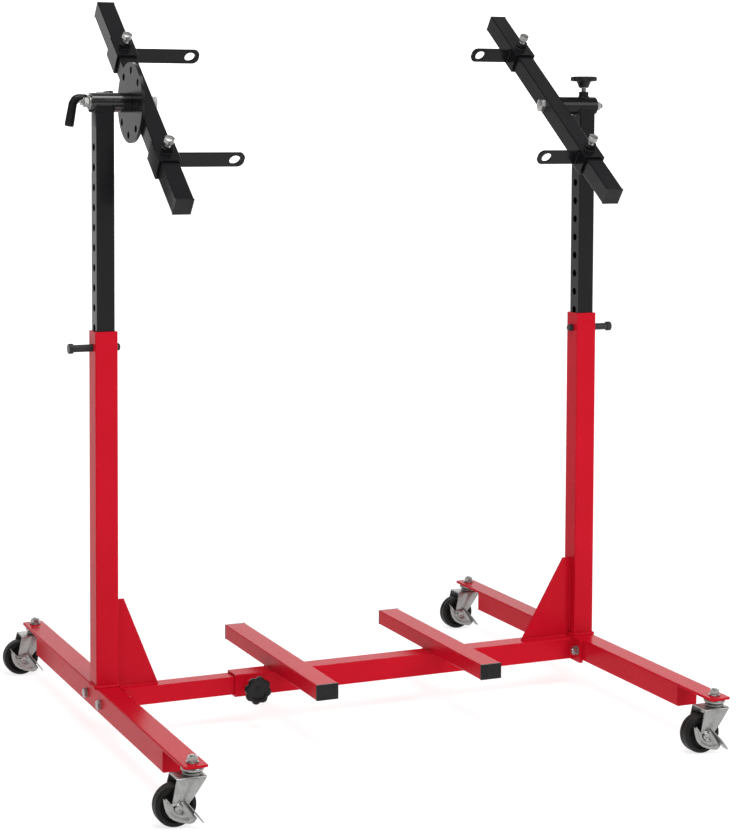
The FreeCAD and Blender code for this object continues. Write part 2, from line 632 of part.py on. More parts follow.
# ---------------------------------------------------------------- castors
def castor(name, x, y):
    """Swivelling fork with its axle, wheel and brake lever. The wheel trails towards -X."""
    leg_corners = [
        (-39, "crown_top"),
        (21, "crown_top"),
        (20, "crown_top - 6"),
        (-2, "crown_top - 36"),
        ("-trail + 16", "wheel_r - 2"),
        ("-trail + 8", "wheel_r - 10"),
        ("-trail - 8", "wheel_r - 10"),
        ("-trail - 13", "wheel_r - 2"),
        (-47, "crown_top - 36"),
    ]
    legs = [
        plate("XZ_Plane", leg_corners, "fork_t", x, f"{y} + {s} * (fork_half - fork_t / 2)", 0)
        for s in (-1, 1)
    ]
    crown = box(f"{x} - 39", f"{y} - fork_half + 1", "crown_top - 4", 60, "2 * fork_half - 2", 4)
    race = rod("Z", x, y, "crown_top - 1", "race_r - 3", 7.5)
    axle = rod("Y", f"{x} - trail", f"{y} - fork_half - 6", "wheel_r", "axle_r", "2 * fork_half + 12")
    ends = [
        rod("Y", f"{x} - trail", f"{y} - fork_half - 6", "wheel_r", 8.4, 2.8),
        hexagon("Y", f"{x} - trail", f"{y} + fork_half", "wheel_r", 15, 6),
    ]
    stem = rod("Z", x, y, "crown_top - 20", "axle_r + 1.5", 40)
    keep(f"fork_{name}", cut(fuse(crown, race, *legs, axle, *ends), stem))

    def ring(outside, inside, low, wide):
        return cut(
            rod("Y", f"{x} - trail", f"{y} + {low}", "wheel_r", outside, wide),
            rod("Y", f"{x} - trail", f"{y} + {low} - 1", "wheel_r", inside, f"{wide} + 2"),
        )

    solid = fuse(
        rod("Y", f"{x} - trail", f"{y} - wheel_w / 2 + 3", "wheel_r", "wheel_r", "wheel_w - 6"),
        cone("Y", f"{x} - trail", f"{y} - wheel_w / 2", "wheel_r", "wheel_r - 3", "wheel_r", 3),
        cone("Y", f"{x} - trail", f"{y} + wheel_w / 2 - 3", "wheel_r", "wheel_r", "wheel_r - 3", 3),
        rod("Y", f"{x} - trail", f"{y} - 20.5", "wheel_r", 11, 41),
    )
    recess = [ring("wheel_r - 12", 13, "-wheel_w / 2 - 1", 6), ring("wheel_r - 12", 13, "wheel_w / 2 - 5", 6)]
    bore = rod("Y", f"{x} - trail", f"{y} - 30", "wheel_r", "axle_r + 0.06", 60)
    keep(f"wheel_{name}", cut(solid, *recess, bore))

    # brake: a pressed leaf on the axle's near side, with a pedal that stands out from it
    leaf_corners = [
        (-30, 22), (-22.5, 13.5), (-15, 9.5), (-2, 10), (10, 12.5), (13, 10.5), (20, 1), (27, -9), (33, -18),
        (37, -24), (31, -31), (24, -33), (13, -31), (2, -27.5), (-9, -22.5), (-18, -15.5), (-24.5, -6),
        (-28, 5), (-30, 14),
    ]
    corners = [(f"-trail + {a}", f"wheel_r + {b}") for a, b in leaf_corners]
    leaf = plate("XZ_Plane", corners, 2, x, f"{y} - fork_half - 1.6", 0)
    pedal_corners = [(10, 15), (12, 16.5), (45, -28.5), (43, -30)]
    corners = [(f"-trail + {a}", f"wheel_r + {b}") for a, b in pedal_corners]
    pedal = plate("XZ_Plane", corners, 20, x, f"{y} - fork_half - 10.6", 0)
    hole = rod("Y", f"{x} - trail", f"{y} - fork_half - 30", "wheel_r", "axle_r + 0.35", 60)
    keep(f"brake_{name}", cut(fuse(leaf, pedal), hole))


for side, x in (("left", "-col_x"), ("right", "col_x")):
    castor(f"{side}_front", x, "-castor_y")
    castor(f"{side}_rear", x, "castor_y")

doc.recompute()

# ---------------------------------------------------------------- checks and export
for obj in doc.Objects:
    if "Invalid" in obj.State or "Error" in obj.State:
        raise RuntimeError(f"{obj.Name} ({obj.Label}) didn't compute: {obj.State}")
for label, obj in final.items():
    shape = obj.Shape
    if shape.isNull() or not shape.isValid() or not shape.Solids:
        raise RuntimeError(f"{label} has no valid solid")
for label, obj in final.items():
    obj.Shape.exportStep(f"parts/{label}.step")
print(len(final), "sub-parts written")
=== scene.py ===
import math

import bmesh
import bpy
from mathutils import Matrix, Vector


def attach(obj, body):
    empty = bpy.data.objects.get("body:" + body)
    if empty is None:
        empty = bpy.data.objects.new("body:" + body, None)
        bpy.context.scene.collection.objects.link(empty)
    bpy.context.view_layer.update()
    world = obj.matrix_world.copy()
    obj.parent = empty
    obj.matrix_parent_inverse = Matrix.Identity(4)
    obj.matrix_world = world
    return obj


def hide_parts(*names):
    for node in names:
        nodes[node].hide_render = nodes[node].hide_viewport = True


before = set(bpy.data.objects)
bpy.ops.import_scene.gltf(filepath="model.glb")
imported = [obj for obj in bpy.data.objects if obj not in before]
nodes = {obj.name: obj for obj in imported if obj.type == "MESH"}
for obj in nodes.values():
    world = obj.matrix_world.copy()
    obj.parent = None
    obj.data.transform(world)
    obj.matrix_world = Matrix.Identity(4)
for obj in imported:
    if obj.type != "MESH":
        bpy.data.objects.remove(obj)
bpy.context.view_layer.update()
MM = 0.001

# ---------------------------------------------------------------- sizes, millimetres, as in the CAD part
SIDES = {"left": -1, "right": 1}
ENDS = {"front": -1, "rear": 1}
TILT = {"left": 38, "right": 36}
CARRIERS = {"left_upper": 171, "left_lower": -194, "right_upper": 206, "right_lower": -200}
COLUMN_X = 590
AXIS_Z = 1378
BAR_OFF = 87
OUTER_HALF = 25
INNER_HALF = 20
SLEEVE_R = 21
SPINDLE_R = 12.5
BEAM_Z = 89
BEAM_HALF = {"left": INNER_HALF, "right": OUTER_HALF}
RAILS = (-183, 213)
KNOB_X = -262
FLANGE_FACE = 33
FLANGE_BOLT_Y = 50
FLANGE_BOLT_Z = 90
FOOT_TOP = 118
GUSSET_TOP = 303
GUSSET_REACH = {"left": 97, "right": 130}
PIN_Z = 853
PIN_R = 8
INDEX_Y = 69.35
INDEX_Z = AXIS_Z + 9.5
INDEX_R = 7
GRIP_X = -634
GRIP_DROP = 62
STUD_R = 6
SET_BOLT_R = 7
BOSS_R = 11.5
CASTOR_Y = 575
CROWN = 97
TRAIL = 37
WHEEL_R = 41.5


# ---------------------------------------------------------------- materials
def node_tree(name):
    material = bpy.data.materials.new(name)
    material.use_nodes = True
    tree = material.node_tree
    shader = tree.nodes["Principled BSDF"]
    return material, tree, shader


def coordinates(tree):
    return tree.nodes.new("ShaderNodeTexCoord").outputs["Object"]


def noise(tree, coords, scale, detail=3.0, roughness=0.55, stretch=None):
    vector = coords
    if stretch:
        mapping = tree.nodes.new("ShaderNodeMapping")
        mapping.inputs["Scale"].default_value = stretch
        tree.links.new(coords, mapping.inputs["Vector"])
        vector = mapping.outputs["Vector"]
    texture = tree.nodes.new("ShaderNodeTexNoise")
    texture.inputs["Scale"].default_value = scale
    texture.inputs["Detail"].default_value = detail
    texture.inputs["Roughness"].default_value = roughness
    tree.links.new(vector, texture.inputs["Vector"])
    return texture.outputs["Fac"]


def ramp(tree, fac, stops):
    """Colour along a value, from (position, colour) stops."""
    node = tree.nodes.new("ShaderNodeValToRGB")
    elements = node.color_ramp.elements
    while len(elements) < len(stops):
        elements.new(0.5)
    for element, (position, color) in zip(elements, stops):
        element.position = position
        element.color = (*color, 1)
    tree.links.new(fac, node.inputs["Fac"])
    return node.outputs["Color"]


def remap(tree, value, source, target):
    """Maps the range source to the range target, clamped at both ends."""
    node = tree.nodes.new("ShaderNodeMapRange")
    for socket, number in zip(("From Min", "From Max", "To Min", "To Max"), (*source, *target)):
        node.inputs[socket].default_value = number
    tree.links.new(value, node.inputs["Value"])
    return node.outputs["Result"]


def spread(tree, fac, low, high):
    """Stretches the middle of a noise between two values."""
    return remap(tree, fac, (0.3, 0.7), (low, high))


def bump(tree, shader, layers):
    """Stacks bump layers, each (height, strength, distance in metres)."""
    previous = None
    for height, strength, distance in layers:
        node = tree.nodes.new("ShaderNodeBump")
        node.inputs["Strength"].default_value = strength
        node.inputs["Distance"].default_value = distance
        tree.links.new(height, node.inputs["Height"])
        if previous:
            tree.links.new(previous, node.inputs["Normal"])
        previous = node.outputs["Normal"]
    tree.links.new(previous, shader.inputs["Normal"])


def paint(name, base, dark, rough, coat, ior, peel):
    """Sprayed gloss enamel: cloudy colour, orange peel, a little handling haze, dust specks."""
    material, tree, shader = node_tree(name)
    coords = coordinates(tree)
    cloud = noise(tree, coords, 5.0, 4.0)
    tree.links.new(ramp(tree, cloud, [(0.3, dark), (0.7, base)]), shader.inputs["Base Color"])
    haze = noise(tree, coords, 16.0, 5.0, 0.65)
    tree.links.new(spread(tree, haze, rough * 0.93, rough * 1.08), shader.inputs["Roughness"])
    shader.inputs["Coat Weight"].default_value = coat
    shader.inputs["Coat Roughness"].default_value = 0.12
    shader.inputs["IOR"].default_value = ior
    peel_height = noise(tree, coords, 420.0, 2.0)
    wave = noise(tree, coords, 34.0, 2.0)
    speck = noise(tree, coords, 1500.0, 1.0)
    bump(tree, shader, [(wave, 0.004, 0.001), (peel_height, peel, 0.0004), (speck, 0.002, 0.0002)])
    return material


def plating(name, low, high, rough, brushed=None):
    """Zinc plated steel: bright metal with a mottled sheen and fine draw marks."""
    material, tree, shader = node_tree(name)
    coords = coordinates(tree)
    mottle = noise(tree, coords, 55.0, 4.0, 0.6)
    tree.links.new(ramp(tree, mottle, [(0.3, low), (0.7, high)]), shader.inputs["Base Color"])
    shader.inputs["Metallic"].default_value = 0.95
    fine = noise(tree, coords, 180.0, 4.0, 0.7, brushed)
    tree.links.new(spread(tree, fine, rough * 0.75, rough * 1.4), shader.inputs["Roughness"])
    grain = noise(tree, coords, 900.0, 2.0, 0.5, brushed)
    bump(tree, shader, [(fine, 0.05, 0.0004), (grain, 0.04, 0.0002)])
    return material


def moulded(name, base, light, rough, grain_scale, grain):
    """Moulded plastic or rubber with a fine spark-eroded grain and pale scuffs."""
    material, tree, shader = node_tree(name)
    coords = coordinates(tree)
    scuff = noise(tree, coords, 35.0, 6.0, 0.7)
    tree.links.new(ramp(tree, scuff, [(0.42, base), (0.78, light)]), shader.inputs["Base Color"])
    tree.links.new(spread(tree, scuff, rough * 0.85, rough * 1.15), shader.inputs["Roughness"])
    shader.inputs["IOR"].default_value = 1.48
    shader.inputs["Specular IOR Level"].default_value = 0.22
    fine = noise(tree, coords, grain_scale, 3.0)
    soft = noise(tree, coords, 90.0, 2.0)
    bump(tree, shader, [(soft, 0.08, 0.0008), (fine, grain, 0.0004)])
    return material


DEEP_RED = (0.50, 0.0050, 0.016)
BRIGHT_RED = (0.56, 0.0060, 0.020)
DEEP_BLACK = (0.0055, 0.0050, 0.0060)
SOFT_BLACK = (0.0085, 0.0080, 0.0090)
ALONG_Z = (1, 1, 0.15)

RED = paint("red_enamel", BRIGHT_RED, DEEP_RED, 0.26, 0.0, 1.14, 0.006)
BLACK = paint("black_enamel", SOFT_BLACK, DEEP_BLACK, 0.20, 0.02, 1.27, 0.015)
SLEEVE = paint("glossy_black_enamel", SOFT_BLACK, DEEP_BLACK, 0.16, 0.3, 1.42, 0.015)
ZINC = plating("zinc_plate", (0.29, 0.29, 0.28), (0.40, 0.395, 0.385), 0.32)
PRESSED = plating("pressed_zinc", (0.27, 0.27, 0.265), (0.37, 0.37, 0.365), 0.34, ALONG_Z)
BRIGHT = plating("bright_steel", (0.30, 0.297, 0.29), (0.42, 0.415, 0.40), 0.30)
PLASTIC = moulded("black_plastic", (0.0060, 0.0058, 0.0060), (0.015, 0.015, 0.015), 0.32, 1400.0, 0.08)
RUBBER = moulded("wheel_rubber", (0.0052, 0.0048, 0.0044), (0.014, 0.013, 0.012), 0.50, 700.0, 0.15)
BLACKED = moulded("blacked_steel", (0.018, 0.018, 0.019), (0.045, 0.045, 0.047), 0.34, 900.0, 0.1)


# ---------------------------------------------------------------- mesh building
X = Vector((1, 0, 0))
Y = Vector((0, 1, 0))
Z = Vector((0, 0, 1))


def basis(axis, across):
    """Local frame whose Z is the axis and whose X is across."""
    z = Vector(axis).normalized()
    x = Vector(across)
    x = (x - z * x.dot(z)).normalized()
    y = z.cross(x)
    return Matrix((x, y, z)).transposed().to_4x4()


def head_matrix(side):
    """From a head drawn level about its axis to where it stands."""
    x = SIDES[side] * (COLUMN_X - BAR_OFF)
    return Matrix.Translation((x, 0, AXIS_Z)) @ Matrix.Rotation(math.radians(TILT[side]), 4, "X")


def turned(radius, angle, along=0):
    """A point at a radius and an angle about Z."""
    return Vector((radius * math.cos(angle), radius * math.sin(angle), along))


def turns(count):
    """Evenly spaced angles round a full turn."""
    return [2 * math.pi * i / count for i in range(count)]


def hexagon_edge(half_flats, angle):
    """Distance from a hexagon's centre to its edge, in the direction of an angle."""
    return half_flats / math.cos(math.radians(math.degrees(angle) % 60 - 30))


class Piece:
    """Collects solids and sheets, in millimetres, and turns them into one object that rides on a body."""

    def __init__(self, matrix=None):
        self.bm = bmesh.new()
        self.matrix = matrix or Matrix.Identity(4)

    def vertices(self, points):
        return [self.bm.verts.new(self.matrix @ Vector(p)) for p in points]

    def skin(self, rows, wrap=True):
        """Faces between rows of vertices, joined round to their first column unless wrap is off."""
        count = len(rows[0])
        for a, b in zip(rows, rows[1:]):
            for i in range(count if wrap else count - 1):
                j = (i + 1) % count
                self.bm.faces.new((a[i], a[j], b[j], b[i]))

    def rings(self, rings):
        """Skins rings of equal count, and caps the first and last."""
        made = [self.vertices(ring) for ring in rings]
        self.skin(made)
        count = len(made[0])
        for ring, flipped in ((made[0], True), (made[-1], False)):
            middle = self.bm.verts.new(sum((v.co for v in ring), Vector()) / count)
            for i in range(count):
                j = (i + 1) % count
                corner = (ring[j], ring[i], middle) if flipped else (ring[i], ring[j], middle)
                self.bm.faces.new(corner)

    def lathe(self, origin, axis, profile, across=(0.13, 0.41, 0.9), count=48, closed=False):
        """profile is (radius, distance along the axis). A closed profile makes a ring with a hole."""
        place = Matrix.Translation(origin) @ basis(axis, across)
        rings = [[place @ turned(radius, a, along) for a in turns(count)] for radius, along in profile]
        if closed:
            made = [self.vertices(ring) for ring in rings]
            self.skin([*made, made[0]])
        else:
            self.rings(rings)

    def hexagon(self, origin, axis, across, flats, height, both=False):
        """A forged hexagon with turned chamfers. The chamfered face is at the far end, or at both."""
        place = Matrix.Translation(origin) @ basis(axis, across)
        chamfer_r = flats / 2 * 0.985
        centre_r = 0.4
        seat_r = chamfer_r * 0.96
        seat = 0.4
        slope = math.tan(math.radians(30))

        def drop(edge):
            return max(0, edge - chamfer_r) * slope

        def near_end(edge):
            if both:
                return [(centre_r, 0), (min(edge, chamfer_r), 0), (edge, drop(edge))]
            return [(centre_r, 0), (seat_r, 0), (seat_r, seat), (edge, seat)]

        def profile(edge):
            far_end = [(edge, height - drop(edge)), (min(edge, chamfer_r), height), (centre_r, height)]
            return near_end(edge) + far_end

        columns = []
        for a in turns(48):
            columns.append([place @ turned(r, a, along) for r, along in profile(hexagon_edge(flats / 2, a))])
        self.rings(list(zip(*columns)))

    def thread(self, origin, axis, radius, start, end, pitch=1.75):
        """A threaded stud: V ridges with a chamfered tip at the end."""
        chamfer = 1.2
        root = radius - pitch * 0.5
        profile = [(root, start)]
        at = start
        while at + pitch < end - chamfer:
            profile += [(root, at + 0.1 * pitch), (radius, at + 0.5 * pitch), (radius, at + 0.6 * pitch)]
            at += pitch
        profile += [(root, end - chamfer), (root - chamfer * 0.5, end)]
        self.lathe(origin, axis, profile, count=40)

    def bead(self, points, radius, closed=False):
        """A weld bead along a path: overlapping ripples, a little uneven, tapered at open ends."""
        path = [Vector(p) for p in points]
        if closed:
            path.append(path[0])
        stations = []
        travelled = 0.0
        for a, b in zip(path, path[1:]):
            length = (b - a).length
            steps = max(2, int(length / 1.1))
            for k in range(steps):
                stations.append((a.lerp(b, k / steps), (b - a).normalized(), travelled + length * k / steps))
            travelled += length
        stations.append((path[-1], (path[-1] - path[-2]).normalized(), travelled))
        rings = []
        for place, along, s in stations:
            ripple = 0.92 + 0.16 * abs(math.sin(s * 0.7)) + 0.05 * math.sin(s * 0.23 + 1.3)
            end = 1.0 if closed else min(1.0, 0.55 + 0.2 * min(s, travelled - s))
            local = basis(along, (0.31, 0.57, 0.76))
            rings.append([place + local @ turned(radius * ripple * end, a) for a in turns(10)])
        self.rings(rings)

    def done(self, name, body, material, replaces=(), angle=32, bevel=0.0, thick=0.0):
        mesh = bpy.data.meshes.new(name)
        bmesh.ops.remove_doubles(self.bm, verts=self.bm.verts, dist=1e-5)
        bmesh.ops.recalc_face_normals(self.bm, faces=self.bm.faces)
        for vertex in self.bm.verts:
            vertex.co *= MM
        self.bm.to_mesh(mesh)
        self.bm.free()
        obj = bpy.data.objects.new(name, mesh)
        bpy.context.scene.collection.objects.link(obj)
        mesh.materials.append(material)
        if thick:
            solid = obj.modifiers.new("thickness", "SOLIDIFY")
            solid.thickness = thick * MM
            solid.offset = -1
            solid.use_even_offset = True
        if bevel:
            edge = obj.modifiers.new("edges", "BEVEL")
            edge.width = bevel * MM
            edge.segments = 2
            edge.limit_method = "ANGLE"
            edge.angle_limit = math.radians(38)
        shade(mesh, angle)
        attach(obj, body)
        if replaces:
            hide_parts(*replaces)


def shade(mesh, angle):
    """Smooth shading that keeps edges sharper than the angle."""
    mesh.polygons.foreach_set("use_smooth", [True] * len(mesh.polygons))
    work = bmesh.new()
    work.from_mesh(mesh)
    limit = math.radians(angle)
    for edge in work.edges:
        if len(edge.link_faces) == 2 and edge.calc_face_angle(0) > limit:
            edge.smooth = False
    work.to_mesh(mesh)
    work.free()


# ---------------------------------------------------------------- CAD nodes that stay
def finish_nodes(names, material):
    for name in names:
        materials = nodes[name].data.materials
        materials.clear()
        materials.append(material)


finish_nodes(["right_foot", "right_flange", "outer_beam", "cross_rail_1", "cross_rail_2", "right_upright",
              "right_gusset", "left_foot", "left_flange", "inner_beam", "left_upright", "left_gusset"], RED)
finish_nodes(["left_column", "index_pin_guide", "right_column", "right_sleeve", "index_disc", "left_bar",
              "right_bar"], BLACK)
for carrier in CARRIERS:
    finish_nodes([f"collar_{carrier}", f"arm_{carrier}"], BLACK)
finish_nodes(["left_sleeve"], SLEEVE)
finish_nodes(["cross_rail_caps", "left_bar_caps", "right_bar_caps"], PLASTIC)


# ---------------------------------------------------------------- welds
WELD_ANGLE = 60


def frame_welds(side, sign):
    """Upright to foot, gusset to upright and beam, beam to flange plate."""
    welds = Piece()
    column = sign * COLUMN_X
    foot = FOOT_TOP + 1.2
    half_x, half_y = 25.8, 24.6
    corners = [(column - half_x, -half_y, foot), (column + half_x, -half_y, foot),
               (column + half_x, half_y, foot), (column - half_x, half_y, foot)]
    welds.bead(corners, 4.0, closed=True)

    half_beam = BEAM_HALF[side]
    beam_top = BEAM_Z + half_beam
    wall = sign * (COLUMN_X - OUTER_HALF)
    plate = sign * (COLUMN_X - FLANGE_FACE)
    gusset_end = wall - sign * (GUSSET_REACH[side] - 3)
    for y in (-3.2, 3.2):
        edge = wall - sign * 0.8
        welds.bead([(edge, y, FOOT_TOP + 7), (edge, y, GUSSET_TOP - 6)], 2.2)
        welds.bead([(plate - sign * 2, y, beam_top + 0.6), (gusset_end, y, beam_top + 0.6)], 2.8)
    corner = plate - sign * 0.6
    for s in (-1, 1):
        y = s * (half_beam + 0.6)
        welds.bead([(corner, y, BEAM_Z - half_beam), (corner, y, BEAM_Z + half_beam)], 2.2)
    welds.bead([(corner, -half_beam, beam_top + 0.4), (corner, half_beam, beam_top + 0.4)], 2.2)
    return welds


def rail_welds(welds):
    """Round each cross rail, and round the knob's threaded boss."""
    half = OUTER_HALF - 1
    out = OUTER_HALF + 0.4
    for x in RAILS:
        for s in (-1, 1):
            welds.bead([(x - half, s * out, BEAM_Z + 24.4), (x + half, s * out, BEAM_Z + 24.4)], 2.0)
            welds.bead([(x + s * out, -half, BEAM_Z + out), (x + s * out, half, BEAM_Z + out)], 2.0)
    ring_r = BOSS_R + 0.8
    boss = []
    for a in turns(24):
        boss.append((KNOB_X + ring_r * math.cos(a), -OUTER_HALF - 0.6, BEAM_Z + ring_r * math.sin(a)))
    welds.bead(boss, 1.8, closed=True)


def column_welds(side, sign):
    """Column to sleeve, and what sits on the sleeve: the index pin's guide or the clamp boss."""
    welds = Piece()
    column = sign * COLUMN_X
    for s in (-1, 1):
        welds.bead([(column - 19, s * 19.6, AXIS_Z - 6.2), (column + 19, s * 19.6, AXIS_Z - 6.2)], 2.6)
    ring_r = SLEEVE_R + 0.8
    for s in (-1, 1):
        arc = []
        for degrees in range(-62, 63, 6):
            a = math.radians(degrees)
            arc.append((column + s * 20.3, ring_r * math.sin(a), AXIS_Z - ring_r * math.cos(a)))
        welds.bead(arc, 2.2)
    if side == "left":
        for x in (-569.8, -561.8):
            welds.bead([(x, 20.5, AXIS_Z + 5), (x, 16.5, AXIS_Z + 14)], 1.6)
        welds.bead([(-566, 15.5, AXIS_Z + 25), (-566, 54.5, AXIS_Z + 25)], 1.2)
    else:
        boss = []
        for a in turns(24):
            across = (BOSS_R + 0.6) * math.sin(a)
            saddle = math.sqrt((SLEEVE_R + 0.3) ** 2 - across ** 2)
            boss.append((column + (BOSS_R + 0.6) * math.cos(a), across, AXIS_Z + saddle))
        welds.bead(boss, 1.7, closed=True)
    return welds


def disc_welds():
    """Along the head bar, where it lies on the index disc."""
    welds = Piece(head_matrix("left"))
    for s in (-1, 1):
        welds.bead([(-20.3, -80, s * 20.2), (-20.3, 80, s * 20.2)], 1.9)
    return welds


def carrier_welds(carrier, along):
    """Arm to collar, and the set bolt's nut to the collar."""
    side = carrier.split("_")[0]
    arm_x = -SIDES[side] * 25.5
    welds = Piece(head_matrix(side))
    for s in (-1, 1):
        y = along + s * 3.0
        welds.bead([(arm_x, y, -17), (arm_x, y, 17)], 1.7)
    ring = []
    for a in turns(24):
        edge = hexagon_edge(12, a) + 0.4
        ring.append((edge * math.cos(a), along + edge * math.sin(a), 25.4))
    welds.bead(ring, 1.3, closed=True)
    return welds


for side, sign in SIDES.items():
    welds = frame_welds(side, sign)
    if side == "right":
        rail_welds(welds)
    welds.done(f"{side}_frame_welds", f"{side}_frame", RED, angle=WELD_ANGLE)
for side, sign in SIDES.items():
    column_welds(side, sign).done(f"{side}_column_welds", f"{side}_column_set", BLACK, angle=WELD_ANGLE)
disc_welds().done("left_head_welds", "left_head", BLACK, angle=WELD_ANGLE)
for carrier, along in CARRIERS.items():
    body = f"carrier_{carrier}"
    carrier_welds(carrier, along).done(f"{body}_welds", body, BLACK, angle=WELD_ANGLE)


# ---------------------------------------------------------------- bolts and pins
def flange_bolts(side, sign):
    """Two bolts along the crossbeam: head on the upright, nut on the flange plate."""
    bolts = Piece()
    outwards, inwards = sign * X, -sign * X
    for s in (-1, 1):
        head = (sign * (COLUMN_X + OUTER_HALF), s * FLANGE_BOLT_Y, FLANGE_BOLT_Z)
        nut = (sign * (COLUMN_X - FLANGE_FACE), s * FLANGE_BOLT_Y, FLANGE_BOLT_Z)
        shank = [(0.1, -60), (STUD_R, -60), (STUD_R, 0), (9.4, 0.05), (9.4, 1.2), (0.1, 1.2)]
        bolts.lathe(head, outwards, shank)
        bolts.hexagon(head, outwards, Z, 19, 8)
        bolts.lathe(nut, inwards, [(6.2, 0), (11.8, 0), (11.8, 1.6), (6.2, 1.6)], closed=True)
        bolts.hexagon(nut, inwards, Z, 19, 10, both=True)
        bolts.thread(nut, inwards, STUD_R, -20, 14)
    bolts.done(f"{side}_flange_bolts_detail", f"{side}_frame", ZINC, [f"{side}_flange_bolts"])


def pull_pin(side, sign):
    """Plain round pin with a rolled head."""
    pin = Piece()
    profile = [(0.1, 554), (6.6, 554), (PIN_R, 556), (PIN_R, 657.4), (8.4, 658), (10.4, 658), (11, 658.8),
               (11, 667), (10.2, 668), (0.1, 668)]
    pin.lathe((0, 0, PIN_Z), sign * X, profile)
    pin.done(f"{side}_pull_pin_detail", f"{side}_pin_set", BLACKED, [f"{side}_pull_pin"])


def spindle(side, sign):
    """Through the bar and the sleeve: forged head, shaft, threaded end, washer and nut."""
    piece = Piece(head_matrix(side))
    outwards = sign * X
    piece.hexagon(-20 * outwards, -outwards, Z, 27, 12)
    shaft = [(0.1, -19), (SPINDLE_R, -19), (SPINDLE_R, 114), (SPINDLE_R - 0.3, 114.7), (0.1, 114.7)]
    piece.lathe((0, 0, 0), outwards, shaft)
    piece.thread((0, 0, 0), outwards, STUD_R, 113, 137)
    washer = [(6.3, 115.3), (15.1, 115.3), (15.5, 115.7), (15.5, 117.9), (15.1, 118.3), (6.3, 118.3)]
    piece.lathe((0, 0, 0), outwards, washer, closed=True)
    piece.hexagon(118.4 * outwards, outwards, Z, 19, 11, both=True)
    piece.done(f"{side}_spindle_detail", f"{side}_head", BRIGHT, [f"{side}_spindle"])


def set_bolt(carrier, along):
    """Bolt through the collar's nut, pressing on the bar."""
    bolt = Piece(head_matrix(carrier.split("_")[0]))
    bolt.thread((0, along, 0), -Z, SET_BOLT_R, -49, -20.3, 2.0)
    bolt.hexagon((0, along, 48), Z, X, 20, 10)
    bolt.done(f"set_bolt_{carrier}_detail", f"set_bolt_{carrier}_set", ZINC, [f"set_bolt_{carrier}"])


def index_pin():
    """Straight rod, and a moulded grip bent down at its outer end."""
    rod = Piece()
    shaft = [(0.1, -631), (INDEX_R, -631), (INDEX_R, -533), (5.6, -531), (0.1, -531)]
    rod.lathe((0, INDEX_Y, INDEX_Z), X, shaft)
    rod.done("index_pin_rod", "index_pin_set", BRIGHT)

    bend = Vector((GRIP_X, INDEX_Y, INDEX_Z))
    bend_r = 11
    lean = math.radians(10)
    down = Vector((-math.sin(lean), 0, -math.cos(lean)))
    path = [(bend + X * d, r) for d, r in ((29, 7.8), (26.5, 9.0), (20, 9.4), (bend_r, 9.5))]
    for degrees in range(15, 90, 15):
        a = math.radians(degrees)
        path.append((bend + Vector((bend_r * (1 - math.sin(a)), 0, bend_r * (math.cos(a) - 1))), 9.5))
    leg = [(bend_r, 9.5), (20, 9.6), (29, 9.8), (38, 10.0), (47, 10.2), (54, 10.4), (GRIP_DROP - 3.2, 10.3),
           (GRIP_DROP - 0.7, 9.2), (GRIP_DROP, 7.0)]
    path += [(bend + down * d, r) for d, r in leg]
    points = [point for point, _ in path]
    rings = []
    for before, (point, r), after in zip([points[0], *points], path, [*points[1:], points[-1]]):
        place = Matrix.Translation(point) @ basis(after - before, (0, 1, 0))
        rings.append([place @ turned(r, a) for a in turns(32)])
    grip = Piece()
    grip.rings(rings)
    grip.done("index_pin_grip", "index_pin_set", PLASTIC, ["index_pin"], angle=50)


for side, sign in SIDES.items():
    flange_bolts(side, sign)
    pull_pin(side, sign)
    spindle(side, sign)
for carrier, along in CARRIERS.items():
    set_bolt(carrier, along)
index_pin()


# ---------------------------------------------------------------- star knobs
def star(name, axis, seat, depth, lift):
    """A moulded star grip, lifted off its seat, on a zinc screw that reaches in past the seat."""
    place = Matrix.Translation(seat) @ basis(axis, (0.2, 0.3, 0.93))
    shape = [(7.0, 22, 0), (10.8, 22, 0), (12.2, 23.0, 0), (13.0, 26.0, 0), (14.6, 30.5, 0), (16.4, 34.0, 0),
             (17.4, 36.0, 0.1), (24.6, 36.2, 0.7), (28.2, 36.9, 1), (29.4, 38.6, 1), (29.6, 42.0, 1),
             (29.4, 45.2, 1), (28.2, 47.2, 1), (25.4, 48.0, 0.9), (19.5, 48.0, 0.3), (18.2, 47.2, 0),
             (11.0, 46.7, 0), (9.8, 47.2, 0), (0.4, 47.3, 0)]
    rings = []
    for radius, along, lobes in shape:
        ring = []
        for a in turns(128):
            r = radius + lobes * (1.8 * math.cos(8 * a) - 0.4 * math.cos(16 * a))
            ring.append(place @ turned(r, a, along + lift))
        rings.append(ring)
    grip = Piece()
    grip.rings(rings)
    grip.done(f"{name}_grip", f"{name}_set", PLASTIC, angle=50)

    screw = Piece()
    screw.thread(seat, -axis, STUD_R, -23 - lift, depth)
    low, high = 20.6 + lift, 22.0 + lift
    screw.lathe(seat, axis, [(6.4, low), (10.4, low), (10.4, high), (6.4, high)], closed=True)
    screw.done(f"{name}_screw", f"{name}_set", ZINC, [name])


star("beam_knob", -Y, (KNOB_X, -OUTER_HALF, BEAM_Z), 4.7, 8)
star("head_knob", Z, (COLUMN_X, 0, AXIS_Z + SLEEVE_R), 8.2, 0)

# ---------------------------------------------------------------- castors
# a fork leg's outline: height, then its two edges along X from the swivel axis
LEG = [(31.7, -45, -29), (35, -48, -25), (40, -49.8, -21), (50, -49.2, -13), (61, -47, -3), (72, -45, 5),
       (85, -42, 14.5), (91, -40.2, 19.5), (CROWN, -39, 21)]
FORK_HALF = 24.9
SHEET = 2.6
LEAF = 1.6


